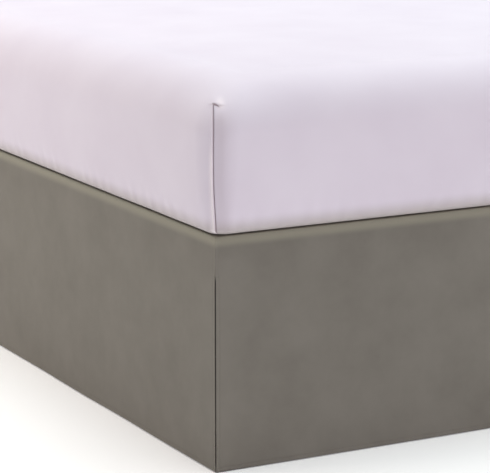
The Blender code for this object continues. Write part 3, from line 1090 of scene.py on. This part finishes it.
# Cotton percale: white with a lilac cast, a fine plain weave that scatters light softly. The lower edge's
# puckers are bump, and its shade is painted shade over the modelled turn. The fold's crease, hood and hollow
# are modelled and also painted darker as painted shade, and its raised lip and a spot beside the hood are
# modelled and also painted paler as painted highlight. The yarns are drawn at 0.8 mm, coarser than the real
# 0.2 mm.
percale, tree, shader = new_material("cotton_percale", Roughness=0.8, IOR=1.5)
shader.inputs["Sheen Weight"].default_value = 0.1
shader.inputs["Sheen Roughness"].default_value = 0.5
cloth = add_node(tree, "ShaderNodeUVMap", uv_map="cloth")
coords = add_node(tree, "ShaderNodeTexCoord")
spot = add_node(tree, "ShaderNodeSeparateXYZ", {"Vector": coords.outputs["Object"]})
shade = add_node(
    tree, "ShaderNodeTexNoise", {"Vector": coords.outputs["Object"], "Scale": 7.0, "Detail": 3.0}
)
sheet_colour = add_node(
    tree,
    "ShaderNodeMix",
    {0: shade.outputs["Fac"], 6: linear(SHEET_COLOUR), 7: linear(SHEET_SHADE)},
    data_type="RGBA",
)
along = add_node(tree, "ShaderNodeMath", {0: spot.outputs["X"], 1: spot.outputs["Y"]}, operation="ADD")
wander = add_node(
    tree, "ShaderNodeTexNoise", {"Vector": coords.outputs["Object"], "Scale": 8.0, "Detail": 1.0}
)
wandered = add_node(tree, "ShaderNodeMath", {0: wander.outputs["Fac"], 1: 0.06, 2: along.outputs["Value"]})
wandered.operation = "MULTIPLY_ADD"
turns = add_node(
    tree, "ShaderNodeMath", {0: wandered.outputs["Value"], 1: math.tau / PUCKER_WIDTH}, operation="MULTIPLY"
)
waves = add_node(tree, "ShaderNodeMath", {0: turns.outputs["Value"]}, operation="SINE")
fade = add_node(
    tree,
    "ShaderNodeMapRange",
    {
        "Value": spot.outputs["Z"],
        "From Min": mattress_low.z + PUCKER_REACH,
        "From Max": mattress_low.z + 0.006,
        "To Max": 1.0,
    },
    interpolation_type="SMOOTHSTEP",
)
puckers = add_node(
    tree, "ShaderNodeMath", {0: waves.outputs["Value"], 1: fade.outputs["Result"]}, operation="MULTIPLY"
)
pucker_relief = add_node(
    tree, "ShaderNodeBump", {"Height": puckers.outputs["Value"], "Strength": 1.0, "Distance": PUCKER_DEPTH}
)
yarns = [
    add_node(
        tree,
        "ShaderNodeTexWave",
        {"Vector": cloth.outputs["UV"], "Scale": 0.314 / SHEET_YARN, "Distortion": 0.5},
        bands_direction=direction,
    )
    for direction in "XY"
]
weave = add_node(
    tree, "ShaderNodeMath", {0: yarns[0].outputs["Fac"], 1: yarns[1].outputs["Fac"]}, operation="ADD"
)
relief = add_node(
    tree,
    "ShaderNodeBump",
    {
        "Height": weave.outputs["Value"],
        "Strength": 0.06,
        "Distance": 0.0002,
        "Normal": pucker_relief.outputs["Normal"],
    },
)
# Painted shade: the sheet's lowest few centimetres are painted darker where it turns under, over the
# modelled turn
painted_low_shade = add_node(
    tree,
    "ShaderNodeMapRange",
    {
        "Value": spot.outputs["Z"],
        "From Min": mattress_low.z + LOWER_EDGE_SHADE_HEIGHT,
        "From Max": mattress_low.z,
        "To Max": 1.0,
    },
    interpolation_type="SMOOTHSTEP",
)
shaded = add_node(
    tree,
    "ShaderNodeMix",
    {0: painted_low_shade.outputs["Result"], 6: sheet_colour.outputs[2], 7: linear(LOWER_EDGE_SHADE_COLOUR)},
    data_type="RGBA",
)
# The fold attribute holds painted light: above 0 it mixes in painted shade, below 0 a painted highlight
fold = add_node(tree, "ShaderNodeAttribute", attribute_name="fold")
folded = add_node(
    tree,
    "ShaderNodeMix",
    {0: fold.outputs["Fac"], 6: shaded.outputs[2], 7: linear(FOLD_SHADE)},
    data_type="RGBA",
)
lip_highlight_share = add_node(
    tree,
    "ShaderNodeMapRange",
    {"Value": fold.outputs["Fac"], "From Min": 0.0, "From Max": -1.0, "To Max": 1.0},
)
lipped = add_node(
    tree,
    "ShaderNodeMix",
    {0: lip_highlight_share.outputs["Result"], 6: folded.outputs[2], 7: linear(LIP_HIGHLIGHT)},
    data_type="RGBA",
)
tree.links.new(lipped.outputs[2], shader.inputs["Base Color"])
tree.links.new(relief.outputs["Normal"], shader.inputs["Normal"])

mattress_marks = []
for axis in range(2):
    ends = ((0.0012, 4), (0.0048, 8), (0.012, 10), (0.072, 24))
    middle = 2 * mattress_high[axis] - 2 * MATTRESS_ENDS
    stretches = (*ends, (middle, round(middle / MATTRESS_GRID)), *reversed(ends))
    mattress_marks.append(rungs(-mattress_high[axis], stretches))
up = ((0.031, 11), (mattress_high.z - mattress_low.z - 0.091, 20), (0.038, 14), (0.016, 22), (0.006, 4))
mattress_marks.append(rungs(mattress_low.z, up))
bm = gridded_box(mattress_marks)
painted_fold_light = bm.verts.layers.float.new("fold")
spots = shape_pad(bm, mattress_low, mattress_high, MATTRESS_FORM, mattress_relief, fold_drift)
# Painted light along the fold: painted shade in the crease, the hood and the hollow, less a painted
# highlight on the lip and on the spot beside the hood
for vert, (far, height, tilt) in spots.items():
    crease, hood = fold_shadow(far, height)
    pale = 0.7 * eased((PALE_TOP - height) / 0.040) * eased(1 + far / PALE_WIDTH) if far < 0 else 0.0
    hollow = eased((FOLD_HEAD - 0.012 - height) / 0.030 + 0.5) * math.exp(-(((far - 0.007) / 0.009) ** 2))
    spot_light = math.exp(-(((far - 0.009) / 0.005) ** 2) - ((height - FOLD_HEAD - 0.002) / 0.008) ** 2)
    shade_of = max(crease, hood, 0.2 * hollow if far > 0 else 0.0)
    vert[painted_fold_light] = shade_of - (1 - crease) * (1 - hood) * max(pale, 0.6 * spot_light)
mattress = new_piece("sheeted_mattress", bm, [percale], smooth_angle=80)
dress(mattress, "mattress_cover", "mattress")


# The bounds of all that is shown, the floor left out
low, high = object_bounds()
